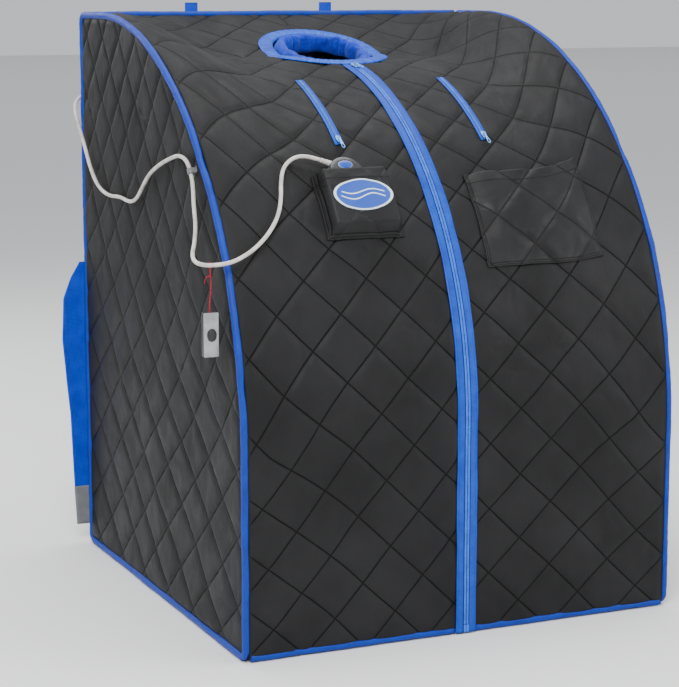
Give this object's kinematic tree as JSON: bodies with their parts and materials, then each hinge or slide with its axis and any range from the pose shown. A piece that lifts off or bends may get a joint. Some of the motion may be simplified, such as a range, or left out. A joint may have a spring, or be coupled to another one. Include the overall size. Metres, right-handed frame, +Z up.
{
  "type": "portable sauna tent",
  "caption": "Folding-fabric personal sauna tent with quilted panels, sprung side hoops, zipped front, collared neck opening, pockets, heater panels and a wired handset.",
  "frame": {"origin": "on the floor, under the middle of the tent's width and depth", "axes": "+Z up; the front, with the door zip, faces -Y; +X is to the right when facing +Y"},
  "size_m": [0.8576, 0.8736, 1.057],
  "materials": {
    "quilted_fabric": "charcoal quilted polyester with a satin sheen",
    "blue_binding": "woven royal blue binding tape",
    "blue_tape": "azure woven zip tape",
    "zip_coil": "nylon zip coil, satin",
    "zip_metal": "pale blue painted zinc, semi-gloss",
    "plush": "royal blue plush pile",
    "pocket_cloth": "charcoal polyester, plain",
    "badge_print": "woven patch, blue with a pale rim",
    "spring_steel": "bright spring wire",
    "heater_film": "laminated heating film",
    "grey_plastic": "silver grey moulded plastic",
    "black_plastic": "black moulded plastic",
    "display_lens": "tinted display window",
    "key_rubber": "silicone key",
    "cord_jacket": "light grey PVC jacket",
    "hook_tape": "grey hook tape",
    "strap_webbing": "blue polypropylene webbing",
    "red_string": "red twisted string",
    "screw_steel": "zinc plated screws"
  },
  "bodies": {
    "tent": {"front_cover": "quilted_fabric", "left_side_panel": "quilted_fabric", "right_side_panel": "quilted_fabric", "back_panel": "quilted_fabric", "left_side_piping": "blue_binding", "right_side_piping": "blue_binding", "left_hoop_rod": "spring_steel", "right_hoop_rod": "spring_steel", "back_top_piping": "blue_binding", "back_top_rail": "spring_steel", "back_hem": "blue_binding", "left_heater": "heater_film", "right_heater": "heater_film", "back_heater": "heater_film", "collar_ring": "blue_tape", "neck_collar": "plush", "main_zip_tape": "blue_tape", "main_zip_coil": "zip_coil", "left_arm_zip": "blue_tape", "right_arm_zip": "blue_tape", "left_pocket": "pocket_cloth", "right_pocket": "pocket_cloth", "left_top_tab": "strap_webbing", "right_top_tab": "strap_webbing", "pocket_badge": "badge_print", "control_cord": "cord_jacket", "cord_clip": "grey_plastic", "power_box_base": "black_plastic", "power_box_lid": "black_plastic", "cord_gland": "black_plastic", "mains_inlet": "black_plastic", "power_box_screws": "screw_steel"},
    "left_door": {"left_flap_panel": "quilted_fabric", "left_flap_hem": "blue_binding", "left_flap_zip": "blue_tape", "zip_pin": "zip_coil"},
    "right_door": {"right_flap_panel": "quilted_fabric", "right_flap_hem": "blue_binding", "right_flap_zip": "blue_tape", "zip_retainer_box": "zip_coil"},
    "main_slider": {"main_zip_slider": "zip_metal"},
    "main_pull": {"main_zip_pull": "zip_metal"},
    "left_slider": {"left_arm_slider": "zip_metal"},
    "left_pull": {"left_arm_pull": "zip_metal"},
    "right_slider": {"right_arm_slider": "zip_metal"},
    "right_pull": {"right_arm_pull": "zip_metal"},
    "handset": {"handset_back_shell": "grey_plastic", "handset_front_shell": "grey_plastic", "handset_display": "display_lens", "handset_strain_relief": "cord_jacket"},
    "key_time": {"time_key": "key_rubber"},
    "key_power": {"power_key": "key_rubber"},
    "key_heat": {"heat_key": "key_rubber"},
    "pendant": {"pendant_string": "red_string", "pendant_back_shell": "black_plastic", "pendant_front_shell": "grey_plastic"},
    "pendant_button": {"pendant_key": "black_plastic"},
    "strap": {"carry_strap": "strap_webbing", "strap_hook_patch": "hook_tape"}
  },
  "joints": [
    {"name": "left_door_fold", "type": "hinge", "parent": "tent", "child": "left_door", "pos_m": [0, -0.4214, 0.365], "axis": [-0.7453, 0, -0.6667], "range_deg": [0, 150]},
    {"name": "right_door_fold", "type": "hinge", "parent": "tent", "child": "right_door", "pos_m": [0, -0.4214, 0.365], "axis": [-0.7453, 0, 0.6667], "range_deg": [0, 150]},
    {"name": "main_zip_run", "type": "hinge", "parent": "tent", "child": "main_slider", "pos_m": [0, 0.17, 0.369], "axis": [1, 0, 0], "range_deg": [0, 72.6]},
    {"name": "main_pull_lift", "type": "hinge", "parent": "main_slider", "child": "main_pull", "pos_m": [0, 0.03367, 0.95023], "axis": [-1, 0, 0], "range_deg": [0, 110]},
    {"name": "left_arm_zip_run", "type": "hinge", "parent": "tent", "child": "left_slider", "pos_m": [-0.14, 0.17, 0.369], "axis": [-1, 0, 0], "range_deg": [0, 17.6]},
    {"name": "left_pull_lift", "type": "hinge", "parent": "left_slider", "child": "left_pull", "pos_m": [-0.14, -0.20421, 0.83442], "axis": [-1, 0, 0], "range_deg": [0, 110]},
    {"name": "right_arm_zip_run", "type": "hinge", "parent": "tent", "child": "right_slider", "pos_m": [0.14, 0.17, 0.369], "axis": [-1, 0, 0], "range_deg": [0, 17.6]},
    {"name": "right_pull_lift", "type": "hinge", "parent": "right_slider", "child": "right_pull", "pos_m": [0.14, -0.20421, 0.83442], "axis": [-1, 0, 0], "range_deg": [0, 110]},
    {"name": "handset_lift", "type": "slide", "parent": "tent", "child": "handset", "axis": [0, 0.6428, 0.766], "range_m": [0, 0.09], "deforming": ["control_cord"]},
    {"name": "pendant_swing", "type": "hinge", "parent": "tent", "child": "pendant", "pos_m": [-0.434, -0.355, 0.6435], "axis": [1, 0, 0], "range_deg": [-25, 25]},
    {"name": "pendant_press", "type": "slide", "parent": "pendant", "child": "pendant_button", "axis": [0, 1, 0], "range_m": [0, 0.001], "stiffness_N_per_m": 300},
    {"name": "strap_swing", "type": "hinge", "parent": "tent", "child": "strap", "pos_m": [-0.4, 0.4224, 0.56], "axis": [1, 0, 0], "range_deg": [0, 60]},
    {"name": "time_press", "type": "slide", "parent": "handset", "child": "key_time", "axis": [0, 0.766, -0.6428], "range_m": [0, 0.001], "stiffness_N_per_m": 300},
    {"name": "power_press", "type": "slide", "parent": "handset", "child": "key_power", "axis": [0, 0.766, -0.6428], "range_m": [0, 0.001], "stiffness_N_per_m": 300},
    {"name": "heat_press", "type": "slide", "parent": "handset", "child": "key_heat", "axis": [0, 0.766, -0.6428], "range_m": [0, 0.001], "stiffness_N_per_m": 300}
  ]
}
